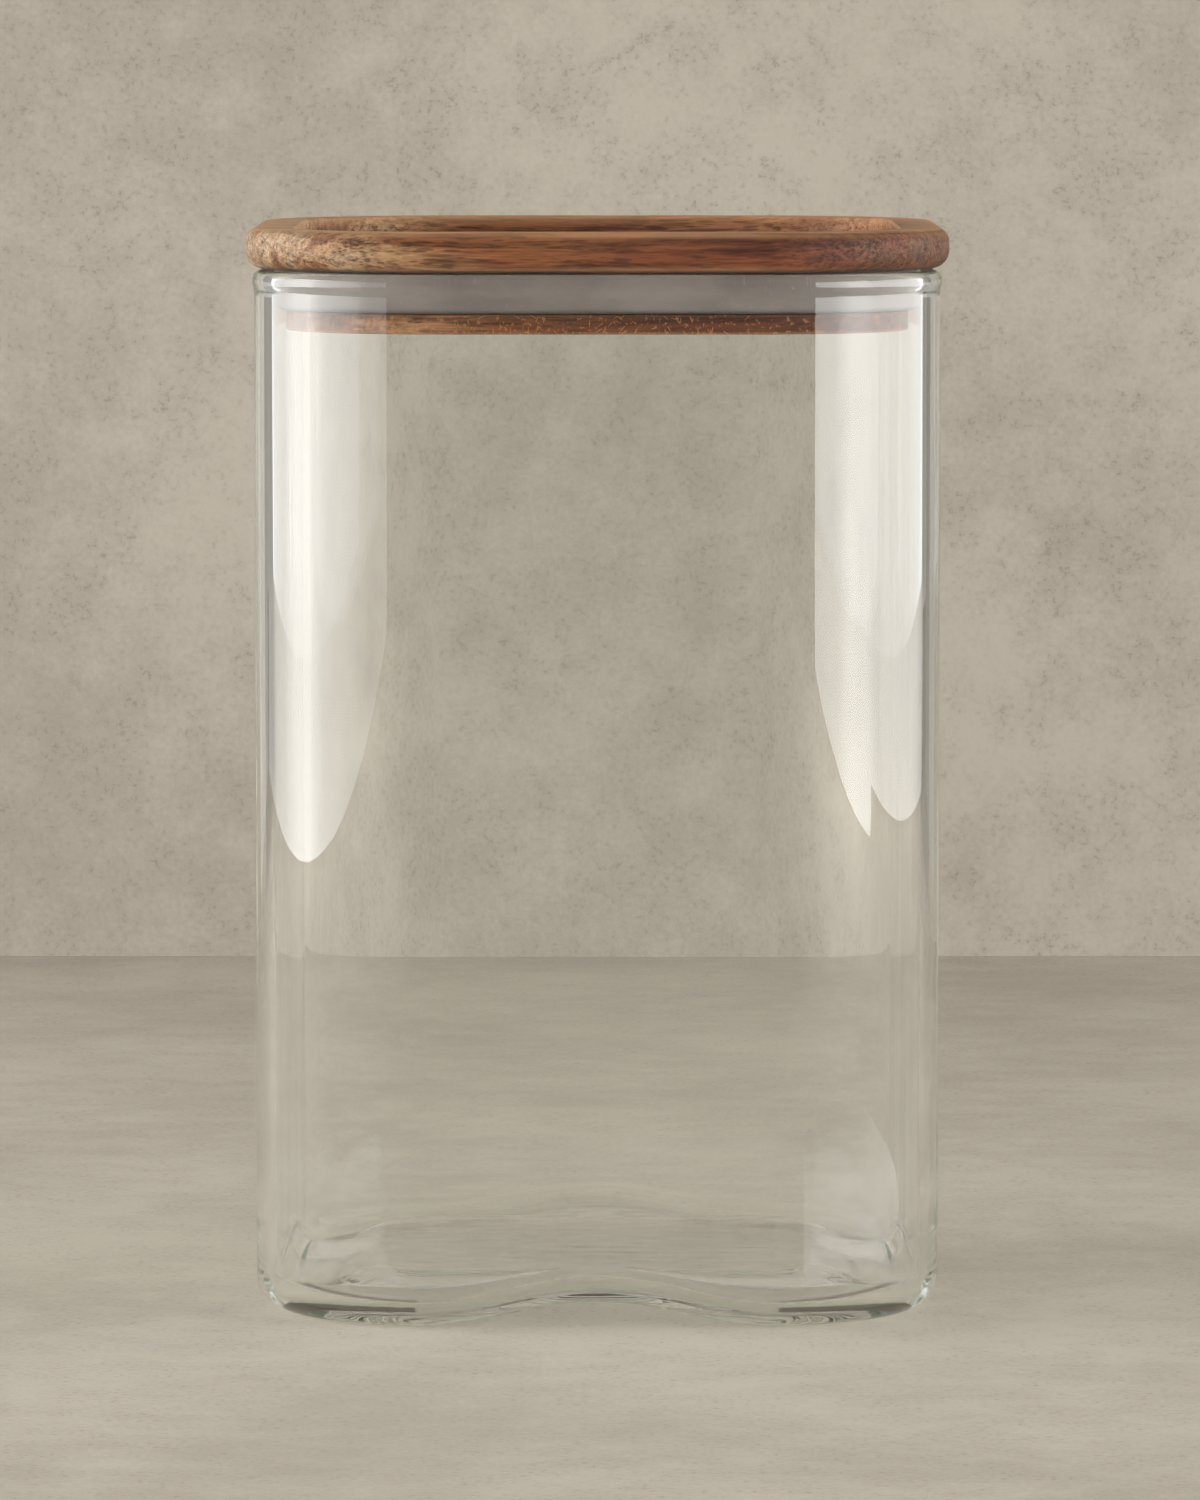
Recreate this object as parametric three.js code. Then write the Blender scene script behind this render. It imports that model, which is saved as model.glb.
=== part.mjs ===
// Food canister: a square glass jar with generous round corners and a lift-off wooden lid.
// The lid is a board with a shallow tray in its top, glued to a stepped plug, and a silicone
// seal is stretched round the plug's neck, between the board and the plug's plate.
// Millimetres, +Z up, front towards -Y, origin on the table under the middle of the jar.
import * as THREE from "three";

// ---- Jar ----
const JAR_WIDTH = 100; // outside, across the flats
const JAR_CORNER_RADIUS = 27; // outside, seen from above
const JAR_HEIGHT = 152; // table to the top of the rim
const JAR_WALL = 2.7;
const BASE_THICKNESS = 2.7;
const BASE_RISE = 3.6; // the underside's height above the table, between the four feet
const FOOT_FILLET = 5; // outside, from the wall down to a foot
const FLOOR_FILLET = 3.5; // inside, from the wall down to the floor
const FOOT_LAND = 3; // width of the flat that touches the table
const FOOT_SLOPE = 10; // inwards from a foot's flat to where the underside is at its full height
const ARCH_HALF_WIDTH = 26; // from the middle of a side to where a foot is fully down
const ARCH_FADE_HEIGHT = 16; // height at which the wall no longer follows the arches
const BEAD_HEIGHT = 2.6; // the fire-polished bead round the rim
const BEAD_PROUD_OUTSIDE = 0.25;
const BEAD_PROUD_INSIDE = 0.1;

// ---- Lid ----
const SEAT_GAP = 0.3; // between the rim and the underside of the board
const LID_OVERHANG = 1.25; // board past the jar's outside on each side
const BOARD_THICKNESS = 5.8;
const BOARD_TOP_ROUND = 1.2;
const BOARD_BOTTOM_ROUND = 1.6;
const TRAY_RIM_WIDTH = 7.25; // rim left standing round the tray
const TRAY_DEPTH = 3;
const TRAY_EDGE_ROUND = 0.6; // where the rim drops into the tray
const TRAY_FLOOR_ROUND = 1.2;
const GLUE_LINE = 0.1; // between the board and the plug
const SEAL_HEIGHT = 5.8;
const SEAL_THICKNESS = 4.4; // across the band, from neck to wall
const SEAL_WALL_CLEARANCE = 0.3; // seal to the jar's inside wall
const SEAL_NECK_CLEARANCE = 0.2;
const SEAL_END_CLEARANCE = 0.1; // seal to the board above it and to the plate below it
const SEAL_TOP_ROUND = 0.7;
const SEAL_BOTTOM_ROUND = 1;
const SEAL_CROWN = 0.25; // how far the band's middle stands past its edges
const PLATE_THICKNESS = 2.9;
const PLATE_WALL_CLEARANCE = 2; // plate to the jar's inside wall
const PLATE_ROUND = 0.5;

// ---- Sizes worked out from those ----
const JAR_HALF = JAR_WIDTH / 2;
const MOUTH_HALF = JAR_HALF - JAR_WALL;
const FOOT_EDGE = JAR_HALF - FOOT_FILLET;
const FLOOR_EDGE = MOUTH_HALF - FLOOR_FILLET;
const BOARD_HALF = JAR_HALF + LID_OVERHANG;
const TRAY_HALF = BOARD_HALF - TRAY_RIM_WIDTH;
const SEAL_HALF = MOUTH_HALF - SEAL_WALL_CLEARANCE;
const SEAL_INNER_HALF = SEAL_HALF - SEAL_THICKNESS;
const NECK_HALF = SEAL_INNER_HALF - SEAL_NECK_CLEARANCE;
const NECK_HEIGHT = SEAL_HEIGHT + 2 * SEAL_END_CLEARANCE - GLUE_LINE;
const PLATE_HALF = MOUTH_HALF - PLATE_WALL_CLEARANCE;
// Every outline is this square grown outwards by a round corner, so the outlines are parallel.
const CORE_SQUARE_HALF = JAR_HALF - JAR_CORNER_RADIUS;

// ---- Fineness of the surface ----
const CORNER_STEPS = 10; // per quarter turn of a plan corner
const JAR_FLAT_STEPS = 8; // along each straight side of the jar
const LID_FLAT_STEPS = 2; // along each straight side of the lid's pieces
const FILLET_STEPS = 5;
const SMALL_ROUND_STEPS = 3;
const LIP_STEPS = 6;
const SLOPE_STEPS = 6;

const RIGHT_ANGLE = Math.PI / 2;

/** A point of a profile: distance from the middle to a flat, and height. */
function at(half, height) {
  return new THREE.Vector2(half, height);
}

/** Points of an arc in a profile, about (half, height), angles in quarter turns from outwards. */
function arc(half, height, radius, fromQuarter, toQuarter, steps) {
  const clockwise = toQuarter < fromQuarter;
  const curve = new THREE.ArcCurve(
    half,
    height,
    radius,
    fromQuarter * RIGHT_ANGLE,
    toQuarter * RIGHT_ANGLE,
    clockwise,
  );
  return curve.getPoints(steps);
}

/** Points of an S-shaped slope in a profile, level at both ends. */
function slope(fromHalf, fromHeight, toHalf, toHeight, steps) {
  const middle = (fromHalf + toHalf) / 2;
  const curve = new THREE.CubicBezierCurve(
    at(fromHalf, fromHeight),
    at(middle, fromHeight),
    at(middle, toHeight),
    at(toHalf, toHeight),
  );
  return curve.getPoints(steps);
}

/**
 * Where column i of a squared lathe stands: a foot on the core square and the way out from it.
 * A quarter runs from the middle of one side, round a corner, to the middle of the next side.
 */
function station(i, flatSteps) {
  const halfFlat = flatSteps / 2;
  const perQuarter = flatSteps + CORNER_STEPS;
  const quarterTurn = Math.floor(i / perQuarter) * RIGHT_ANGLE;
  const step = i % perQuarter;
  const turn = THREE.MathUtils.clamp((step - halfFlat) / CORNER_STEPS, 0, 1) * RIGHT_ANGLE;
  const before = Math.min(step / halfFlat, 1);
  const after = Math.min((perQuarter - step) / halfFlat, 1);
  const middle = new THREE.Vector2(0, 0);
  const foot = new THREE.Vector2(after, before).multiplyScalar(CORE_SQUARE_HALF);
  const outward = new THREE.Vector2(Math.cos(turn), Math.sin(turn));
  return {
    foot: foot.rotateAround(middle, quarterTurn),
    outward: outward.rotateAround(middle, quarterTurn),
  };
}

/**
 * Turns a profile into a body whose plan is a rounded square: a lathe whose columns are moved
 * out to the sides and corners of the square. Rings inside the neck are scaled copies of it.
 */
function squaredLathe(profile, flatSteps) {
  const columns = 4 * (flatSteps + CORNER_STEPS);
  const geometry = new THREE.LatheGeometry(profile, columns);
  const position = geometry.getAttribute("position");
  const smallestHalf = (CORE_SQUARE_HALF + NECK_HALF) / 2;
  for (let i = 0; i <= columns; i += 1) {
    const { foot, outward } = station(i % columns, flatSteps);
    profile.forEach((point, j) => {
      const half = Math.max(point.x, smallestHalf);
      const place = foot.clone().addScaledVector(outward, half - CORE_SQUARE_HALF);
      place.multiplyScalar(point.x / half);
      position.setXYZ(i * profile.length + j, place.x, place.y, point.y);
    });
  }
  return geometry;
}

/** How much of an arch there is at a place: 1 at the middle of a side, 0 at the feet. */
function archShare(x, y) {
  const along = Math.min(Math.abs(x), Math.abs(y)) / ARCH_HALF_WIDTH;
  return (1 + Math.cos(Math.PI * Math.min(along, 1))) / 2;
}

/** Raises each point of a squared lathe by its own lift, in full at the middle of the sides. */
function raiseArches(geometry, lifts) {
  const position = geometry.getAttribute("position");
  for (let i = 0; i < position.count; i += 1) {
    const share = archShare(position.getX(i), position.getY(i));
    const lift = lifts[i % lifts.length];
    position.setZ(i, position.getZ(i) + share * lift);
  }
  return geometry;
}

/** How far the wall follows an arch at a height above the foot or the floor. */
function wallLift(height) {
  return BASE_RISE * (1 - THREE.MathUtils.smoothstep(height, 0, ARCH_FADE_HEIGHT));
}

/** The jar: four feet with arches between them, straight walls and a beaded rim. */
function glassJar() {
  const landEdge = FOOT_EDGE - FOOT_LAND;
  const slopeEdge = landEdge - FOOT_SLOPE;
  const beadStart = JAR_HEIGHT - BEAD_HEIGHT;
  const beadOutside = JAR_HALF + BEAD_PROUD_OUTSIDE;
  const beadInside = MOUTH_HALF - BEAD_PROUD_INSIDE;
  const lipRadius = (beadOutside - beadInside) / 2;
  const lipHeight = JAR_HEIGHT - lipRadius;
  const beadSwell = (lipHeight + beadStart) / 2;
  const floorHeight = BASE_RISE + BASE_THICKNESS;
  const wallStart = BASE_THICKNESS + ARCH_FADE_HEIGHT;
  const underside = [
    at(0, BASE_RISE),
    at(slopeEdge / 2, BASE_RISE),
    ...slope(slopeEdge, BASE_RISE, landEdge, 0, SLOPE_STEPS),
  ];
  const wall = [
    ...arc(FOOT_EDGE, FOOT_FILLET, FOOT_FILLET, -1, 0, FILLET_STEPS),
    at(JAR_HALF, (FOOT_FILLET + wallStart) / 2),
    at(JAR_HALF, wallStart),
    at(JAR_HALF, beadStart),
    at(beadOutside, beadSwell),
    ...arc(beadOutside - lipRadius, lipHeight, lipRadius, 0, 2, LIP_STEPS),
    at(beadInside, beadSwell),
    at(MOUTH_HALF, beadStart),
  ];
  const inside = [
    at(MOUTH_HALF, wallStart),
    at(MOUTH_HALF, (BASE_THICKNESS + FLOOR_FILLET + wallStart) / 2),
    ...arc(FLOOR_EDGE, BASE_THICKNESS + FLOOR_FILLET, FLOOR_FILLET, 0, -1, FILLET_STEPS),
  ];
  const floor = [
    ...slope(landEdge, BASE_THICKNESS, slopeEdge, floorHeight, SLOPE_STEPS),
    at(slopeEdge / 2, floorHeight),
    at(0, floorHeight),
  ];
  const lifts = [
    ...underside.map((point) => BASE_RISE - point.y),
    ...wall.map((point) => wallLift(point.y)),
    ...inside.map((point) => wallLift(point.y - BASE_THICKNESS)),
    ...floor.map((point) => floorHeight - point.y),
  ];
  const profile = [...underside, ...wall, ...inside, ...floor];
  return raiseArches(squaredLathe(profile, JAR_FLAT_STEPS), lifts);
}

/** The lid's board, from its underside at 0: rounded edges and a tray sunk in the top. */
function lidBoard() {
  const trayFloor = BOARD_THICKNESS - TRAY_DEPTH;
  const lowEdge = BOARD_HALF - BOARD_BOTTOM_ROUND;
  const topEdge = BOARD_HALF - BOARD_TOP_ROUND;
  const topRound = BOARD_THICKNESS - BOARD_TOP_ROUND;
  const trayTop = BOARD_THICKNESS - TRAY_EDGE_ROUND;
  const trayFoot = trayFloor + TRAY_FLOOR_ROUND;
  const profile = [
    at(0, 0),
    ...arc(lowEdge, BOARD_BOTTOM_ROUND, BOARD_BOTTOM_ROUND, -1, 0, FILLET_STEPS),
    ...arc(topEdge, topRound, BOARD_TOP_ROUND, 0, 1, FILLET_STEPS),
    ...arc(TRAY_HALF + TRAY_EDGE_ROUND, trayTop, TRAY_EDGE_ROUND, 1, 2, SMALL_ROUND_STEPS),
    ...arc(TRAY_HALF - TRAY_FLOOR_ROUND, trayFoot, TRAY_FLOOR_ROUND, 0, -1, SMALL_ROUND_STEPS),
    at(0, trayFloor),
  ];
  return squaredLathe(profile, LID_FLAT_STEPS);
}

/** The plug, from its underside at 0: a plate with eased edges and the seal's neck above it. */
function lidPlug() {
  const edge = PLATE_HALF - PLATE_ROUND;
  const topRound = PLATE_THICKNESS - PLATE_ROUND;
  const neckTop = PLATE_THICKNESS + NECK_HEIGHT;
  const profile = [
    at(0, 0),
    ...arc(edge, PLATE_ROUND, PLATE_ROUND, -1, 0, SMALL_ROUND_STEPS),
    ...arc(edge, topRound, PLATE_ROUND, 0, 1, SMALL_ROUND_STEPS),
    at(NECK_HALF, PLATE_THICKNESS),
    at(NECK_HALF, neckTop),
    at(0, neckTop),
  ];
  return squaredLathe(profile, LID_FLAT_STEPS);
}

/** The seal, from its underside at 0: a soft band, slightly crowned, with rounded edges. */
function sealRing() {
  const edge = SEAL_HALF - SEAL_CROWN;
  const lowEdge = edge - SEAL_BOTTOM_ROUND;
  const topEdge = edge - SEAL_TOP_ROUND;
  const topRound = SEAL_HEIGHT - SEAL_TOP_ROUND;
  const profile = [
    at(SEAL_INNER_HALF, 0),
    ...arc(lowEdge, SEAL_BOTTOM_ROUND, SEAL_BOTTOM_ROUND, -1, 0, SMALL_ROUND_STEPS),
    at(SEAL_HALF, SEAL_HEIGHT / 2),
    ...arc(topEdge, topRound, SEAL_TOP_ROUND, 0, 1, SMALL_ROUND_STEPS),
    at(SEAL_INNER_HALF, SEAL_HEIGHT),
    at(SEAL_INNER_HALF, 0),
  ];
  return squaredLathe(profile, LID_FLAT_STEPS);
}

/** Clear, faintly warm glass. */
function glassMaterial() {
  return new THREE.MeshStandardMaterial({
    color: 0xf2f6f1,
    roughness: 0.03,
    metalness: 0,
    transparent: true,
    opacity: 0.3,
  });
}

/** Oiled hardwood of the board. */
function boardMaterial() {
  return new THREE.MeshStandardMaterial({ color: 0x8f5c38, roughness: 0.55, metalness: 0 });
}

/** The plug's hardwood, a little darker than the board's. */
function plugMaterial() {
  return new THREE.MeshStandardMaterial({ color: 0x744029, roughness: 0.6, metalness: 0 });
}

/** Milky grey silicone. */
function sealMaterial() {
  return new THREE.MeshStandardMaterial({ color: 0xb9b2a8, roughness: 0.45, metalness: 0 });
}

/** A named mesh standing at the given height in its group. */
function piece(name, geometry, material, height) {
  const mesh = new THREE.Mesh(geometry, material);
  mesh.name = name;
  mesh.position.z = height;
  return mesh;
}

/** The lid's pieces, in a group that stands on the board's underside. */
function lidGroup() {
  const group = new THREE.Group();
  const plateTop = -GLUE_LINE - NECK_HEIGHT;
  group.position.z = JAR_HEIGHT + SEAT_GAP;
  group.add(
    piece("lid_board", lidBoard(), boardMaterial(), 0),
    piece("lid_plug", lidPlug(), plugMaterial(), plateTop - PLATE_THICKNESS),
    piece("seal_ring", sealRing(), sealMaterial(), plateTop + SEAL_END_CLEARANCE),
  );
  return group;
}

const canister = new THREE.Group();
canister.add(piece("glass_jar", glassJar(), glassMaterial(), 0), lidGroup());

export default canister;
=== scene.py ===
"""Food canister: a square glass jar with a wooden lid and a milky silicone seal.

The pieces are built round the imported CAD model, in metres, and dressed for a studio
picture. The jar stands on the origin with +Z up and its front towards -Y. The lid's wood
has its grain along X.
"""

import logging
import math
import random
from collections.abc import Callable, Mapping, Sequence
from dataclasses import dataclass, field
from enum import Enum

import bmesh
import bpy
from mathutils import Matrix, Vector


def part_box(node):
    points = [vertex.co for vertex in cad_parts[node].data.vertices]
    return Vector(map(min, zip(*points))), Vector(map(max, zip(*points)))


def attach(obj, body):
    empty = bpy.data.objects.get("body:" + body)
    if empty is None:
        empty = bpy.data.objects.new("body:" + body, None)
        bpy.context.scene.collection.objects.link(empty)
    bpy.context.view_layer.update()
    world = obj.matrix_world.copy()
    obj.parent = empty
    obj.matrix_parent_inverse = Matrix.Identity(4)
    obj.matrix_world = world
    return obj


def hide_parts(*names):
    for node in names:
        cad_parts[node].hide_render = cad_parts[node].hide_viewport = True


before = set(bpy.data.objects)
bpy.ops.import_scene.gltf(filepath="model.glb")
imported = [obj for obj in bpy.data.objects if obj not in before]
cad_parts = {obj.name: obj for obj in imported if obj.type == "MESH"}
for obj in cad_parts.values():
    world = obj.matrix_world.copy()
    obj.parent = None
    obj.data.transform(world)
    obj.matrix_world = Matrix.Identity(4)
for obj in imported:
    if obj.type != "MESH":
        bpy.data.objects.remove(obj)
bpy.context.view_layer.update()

MM = 0.001
QUARTER = math.pi / 2
MERGE_DISTANCE = 1e-6
EDGE_ATTRIBUTE = "edge"
Colour = tuple[float, float, float]
Feed = bpy.types.NodeSocket | float | tuple[float, ...]

log = logging.getLogger("canister")


class Body(Enum):
    """The bodies of the canister that pieces ride on."""

    JAR = "jar"
    LID = "lid"


class Slot(Enum):
    """The record's material slots."""

    GLASS = "jar_glass"
    BOARD = "board_wood"
    PLUG = "plug_wood"
    SEAL = "seal_silicone"


# ---------------------------------------------------------------- mesh making


@dataclass(frozen=True)
class Corner:
    """A corner of a section: its distance from the middle, its height and its rounding."""

    half: float
    height: float
    round: float = 0.0
    steps: int = 6

    def distance_to(self, half: float, height: float) -> float:
        """How far a point of the section is from this corner."""
        return math.hypot(half - self.half, height - self.height)


def round_corners(
    bm: bmesh.types.BMesh, verts: Sequence[bmesh.types.BMVert], corners: Sequence[Corner]
) -> None:
    """Rounds the corners of a section or of a sheet.

    Args:
        bm: The form that the corners belong to.
        verts: The vertex at each corner.
        corners: The corners. One without a rounding stays sharp.
    """
    for vert, corner in zip(verts, corners):
        if corner.round > 0.0:
            bmesh.ops.bevel(
                bm,
                geom=[vert],
                offset=corner.round,
                offset_type="OFFSET",
                segments=corner.steps,
                profile=0.5,
                affect="VERTICES",
                material=-1,
            )


@dataclass(frozen=True)
class SquarePlan:
    """A square with round corners, seen from above, round which sections are swept."""

    core: float
    corner_steps: int = 28
    flat_steps: int = 10

    def outset(self, place: Vector) -> float:
        """How far out a place is, measured square to the nearest side or corner.

        Args:
            place: The place, of which only x and y count.

        Returns:
            Its distance from the middle, as if it lay off the middle of a side.
        """
        dx = max(abs(place.x) - self.core, 0.0)
        dy = max(abs(place.y) - self.core, 0.0)
        return self.core + math.hypot(dx, dy)

    def sweep(self, corners: Sequence[Corner], closed: bool = False) -> bmesh.types.BMesh:
        """Sweeps a section round the plan.

        Args:
            corners: The section's corners, in order, in the plane of the +X side's middle.
            closed: True if the last corner joins the first.

        Returns:
            The swept surface, open where the section is open.
        """
        bm = bmesh.new()
        verts = [bm.verts.new((c.half, 0.0, c.height)) for c in corners]
        ends = verts[1:] + verts[:1] if closed else verts[1:]
        for start, end in zip(verts, ends):
            bm.edges.new((start, end))
        round_corners(bm, verts, corners)
        step = self.core / self.flat_steps
        ring = self._shift(bm, [*bm.verts, *bm.edges], Vector((0.0, step, 0.0)))
        ring = bmesh.ops.spin(
            bm,
            geom=ring,
            cent=(self.core, self.core, 0.0),
            axis=(0.0, 0.0, 1.0),
            angle=QUARTER,
            steps=self.corner_steps,
        )["geom_last"]
        self._shift(bm, ring, Vector((-step, 0.0, 0.0)))
        for axis in "XY":
            bmesh.ops.mirror(
                bm,
                geom=[*bm.verts, *bm.edges, *bm.faces],
                matrix=Matrix.Identity(4),
                merge_dist=MERGE_DISTANCE,
                axis=axis,
            )
        return bm

    def _shift(self, bm: bmesh.types.BMesh, ring: list, step: Vector) -> list:
        """Extrudes a ring straight along half a side.

        Args:
            bm: The form that is being swept.
            ring: The vertices and edges of its open end.
            step: How far each copy moves on.

        Returns:
            The last copy of the ring.
        """
        return bmesh.ops.spin(
            bm,
            geom=ring,
            cent=(0.0, 0.0, 0.0),
            axis=(0.0, 0.0, 1.0),
            dvec=step,
            angle=0.0,
            steps=self.flat_steps,
        )["geom_last"]


def smooth_step(value: float) -> float:
    """An S-shaped step from 0 to 1 as value goes from 0 to 1."""
    t = min(max(value, 0.0), 1.0)
    return t * t * (3.0 - 2.0 * t)


def close_body(bm: bmesh.types.BMesh) -> None:
    """Caps the open ends of a swept surface, welds it and turns its faces outwards.

    Args:
        bm: The surface.
    """
    bmesh.ops.remove_doubles(bm, verts=bm.verts[:], dist=MERGE_DISTANCE)
    rims = [edge for edge in bm.edges if edge.is_boundary]
    if rims:
        bmesh.ops.holes_fill(bm, edges=rims, sides=0)
    bmesh.ops.recalc_face_normals(bm, faces=bm.faces[:])


def join_forms(bm: bmesh.types.BMesh, other: bmesh.types.BMesh) -> None:
    """Adds one form's faces to another.

    Args:
        bm: The form that is kept.
        other: The form that is added. It is freed.
    """
    carrier = bpy.data.meshes.new("carrier")
    other.to_mesh(carrier)
    other.free()
    bm.from_mesh(carrier)
    bpy.data.meshes.remove(carrier)


def blend_forms(
    bm: bmesh.types.BMesh, other: bmesh.types.BMesh, share: Callable[[Vector], float]
) -> None:
    """Moves each vertex of the first form towards its twin in the second, and frees that.

    Args:
        bm: The form that is kept.
        other: A form swept with the same steps, so that their vertices pair up in order.
        share: Gives how far a vertex goes, from 0 to 1, by where it is.
    """
    for vert, twin in zip(bm.verts, other.verts):
        vert.co = vert.co.lerp(twin.co, share(vert.co))
    other.free()


def mark_edges(
    bm: bmesh.types.BMesh, plan: SquarePlan, corners: Sequence[Corner], reach: float
) -> None:
    """Writes how close each vertex is to an edge into the edge attribute, which paints worn edges
    and a painted highlight along them.

    Args:
        bm: The form, in its final place.
        plan: The plan that it was swept round.
        corners: The section's corners that are worn and carry the painted highlight.
        reach: The distance at which the worn, painted-highlight band has faded out.
    """
    layer = bm.verts.layers.float.new(EDGE_ATTRIBUTE)
    for vert in bm.verts:
        half = plan.outset(vert.co)
        nearest = min(c.distance_to(half, vert.co.z) for c in corners)
        vert[layer] = 1.0 - smooth_step(nearest / reach)


def make_object(
    name: str, bm: bmesh.types.BMesh, material: bpy.types.Material
) -> bpy.types.Object:
    """Turns a form into an object of the scene.

    Args:
        name: What the object and its mesh are called.
        bm: The form. It is freed.
        material: The finish that it wears.

    Returns:
        The object, at the origin.
    """
    mesh = bpy.data.meshes.new(name)
    bm.to_mesh(mesh)
    bm.free()
    mesh.materials.append(material)
    made = bpy.data.objects.new(name, mesh)
    bpy.context.scene.collection.objects.link(made)
    return made


@dataclass(frozen=True)
class Piece:
    """What a finished mesh is called, rides on and stands for, and its material slot."""

    name: str
    body: Body
    slot: Slot
    replaces: tuple[str, ...] = ()

    def place(self, bm: bmesh.types.BMesh, material: bpy.types.Material) -> bpy.types.Object:
        """Turns a form into the piece's object and ties it to the frame.

        Args:
            bm: The form, in its final place. It is freed.
            material: The finish that it wears.

        Returns:
            The piece's object, at the origin, smooth shaded.
        """
        piece = make_object(self.name, bm, material)
        piece.data.shade_smooth()
        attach(piece, self.body.value)
        if self.replaces:
            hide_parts(*self.replaces)
        faces = len(piece.data.polygons)
        log.info("%s: %d faces, rides on %s", self.name, faces, self.body.value)
        return piece


def weight_normals(piece: bpy.types.Object) -> None:
    """Lets large faces set the shading where they meet small rounded ones.

    Args:
        piece: The finished piece.
    """
    modifier = piece.modifiers.new("weighted_normals", "WEIGHTED_NORMAL")
    modifier.mode = "FACE_AREA"
    modifier.keep_sharp = True


# ------------------------------------------------------------- material making


class Graph:
    """A node tree being wired up: adds nodes, and feeds their inputs values or links."""

    def __init__(self, tree: bpy.types.NodeTree) -> None:
        """Starts on a tree as it is."""
        self.tree = tree

    def feed(self, socket: bpy.types.NodeSocket, value: Feed) -> None:
        """Links an output to an input, or sets the input to a plain value.

        Args:
            socket: The input.
            value: The output to link, or the value to set.
        """
        if isinstance(value, bpy.types.NodeSocket):
            self.tree.links.new(value, socket)
        else:
            socket.default_value = value

    def add(
        self, kind: str, inputs: Mapping[str | int, Feed] | None = None, **settings: str
    ) -> bpy.types.Node:
        """Adds a node.

        Args:
            kind: The node's type, without its ShaderNode prefix.
            inputs: What to feed its inputs, by name or number.
            **settings: The node's own properties.

        Returns:
            The new node.
        """
        node = self.tree.nodes.new("ShaderNode" + kind)
        for name, value in settings.items():
            setattr(node, name, value)
        for key, value in (inputs or {}).items():
            self.feed(node.inputs[key], value)
        return node

    def math(self, operation: str, a: Feed, b: Feed = 0.0) -> bpy.types.NodeSocket:
        """The result of a Math node."""
        return self.add("Math", {0: a, 1: b}, operation=operation).outputs[0]

    def remap(
        self, value: Feed, low: float, high: float, to_low: float = 0.0, to_high: float = 1.0
    ) -> bpy.types.NodeSocket:
        """A value's place between low and high, clamped and carried to another range."""
        inputs = {0: value, 1: low, 2: high, 3: to_low, 4: to_high}
        return self.add("MapRange", inputs, interpolation_type="SMOOTHSTEP").outputs[0]

    def mix(self, factor: Feed, a: Feed, b: Feed, blend: str = "MIX") -> bpy.types.NodeSocket:
        """Mixes two colours.

        Args:
            factor: How much of the second colour there is, from 0 to 1.
            a: The first colour.
            b: The second colour.
            blend: How the second is laid on the first.

        Returns:
            The mixed colour.
        """
        node = self.add("Mix", data_type="RGBA", blend_type=blend)
        self.feed(node.inputs[0], factor)
        self.feed(node.inputs[6], (*a, 1.0) if isinstance(a, tuple) else a)
        self.feed(node.inputs[7], (*b, 1.0) if isinstance(b, tuple) else b)
        return node.outputs[2]

    def ramp(self, factor: Feed, stops: Sequence[tuple[float, Colour]]) -> bpy.types.NodeSocket:
        """Lays a colour ramp along a factor.

        Args:
            factor: The place on the ramp, from 0 to 1.
            stops: The ramp's positions and their colours, in order.

        Returns:
            The ramp's colour.
        """
        node = self.add("ValToRGB", {0: factor})
        elements = node.color_ramp.elements
        while len(elements) < len(stops):
            elements.new(0.5)
        for element, (position, colour) in zip(elements, stops):
            element.position = position
            element.color = (*colour, 1.0)
        return node.outputs[0]

    def stretch(self, vector: Feed, scale: tuple[float, float, float]) -> bpy.types.NodeSocket:
        """Coordinates scaled by a Mapping node."""
        return self.add("Mapping", {"Vector": vector, "Scale": scale}).outputs[0]

    def noise(
        self, vector: Feed, scale: float, detail: float = 2.0, roughness: float = 0.5
    ) -> bpy.types.NodeSocket:
        """The value of a noise texture."""
        inputs = {"Vector": vector, "Scale": scale, "Detail": detail, "Roughness": roughness}
        return self.add("TexNoise", inputs).outputs[0]

    def bump(self, height: Feed, strength: float, distance: float) -> bpy.types.NodeSocket:
        """A normal bent by a height."""
        inputs = {"Strength": strength, "Distance": distance, "Height": height}
        return self.add("Bump", inputs).outputs[0]


def new_group(
    name: str, inputs: Mapping[str, tuple[str, float | None]], outputs: Mapping[str, str]
) -> tuple[Graph, bpy.types.Node, bpy.types.Node]:
    """Makes an empty shader node group.

    Args:
        name: The group's name.
        inputs: For each input, its socket type's ending and its default.
        outputs: For each output, its socket type's ending.

    Returns:
        The group's graph, its input node and its output node.
    """
    tree = bpy.data.node_groups.new(name, "ShaderNodeTree")
    for label, (kind, default) in inputs.items():
        made = tree.interface.new_socket(
            name=label, in_out="INPUT", socket_type="NodeSocket" + kind
        )
        if default is not None:
            made.default_value = default
    for label, kind in outputs.items():
        tree.interface.new_socket(name=label, in_out="OUTPUT", socket_type="NodeSocket" + kind)
    entry = tree.nodes.new("NodeGroupInput")
    leave = tree.nodes.new("NodeGroupOutput")
    return Graph(tree), entry, leave


def new_material(name: str) -> tuple[Graph, bpy.types.Material, bpy.types.NodeSocket]:
    """Makes an empty material.

    Args:
        name: The material's name.

    Returns:
        Its graph, the material, and its Object coordinates.
    """
    material = bpy.data.materials.new(name)
    material.use_nodes = True
    material.node_tree.nodes.clear()
    graph = Graph(material.node_tree)
    coordinates = graph.add("TexCoord").outputs["Object"]
    return graph, material, coordinates


def put_group(graph: Graph, group: bpy.types.NodeTree, inputs: Mapping[str, Feed]) -> bpy.types.Node:
    """Places a node group in a material's graph.

    Args:
        graph: The material's graph.
        group: The group.
        inputs: What to feed its inputs, by name.

    Returns:
        The group's node.
    """
    node = graph.tree.nodes.new("ShaderNodeGroup")
    node.node_tree = group
    for key, value in inputs.items():
        graph.feed(node.inputs[key], value)
    return node


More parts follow.
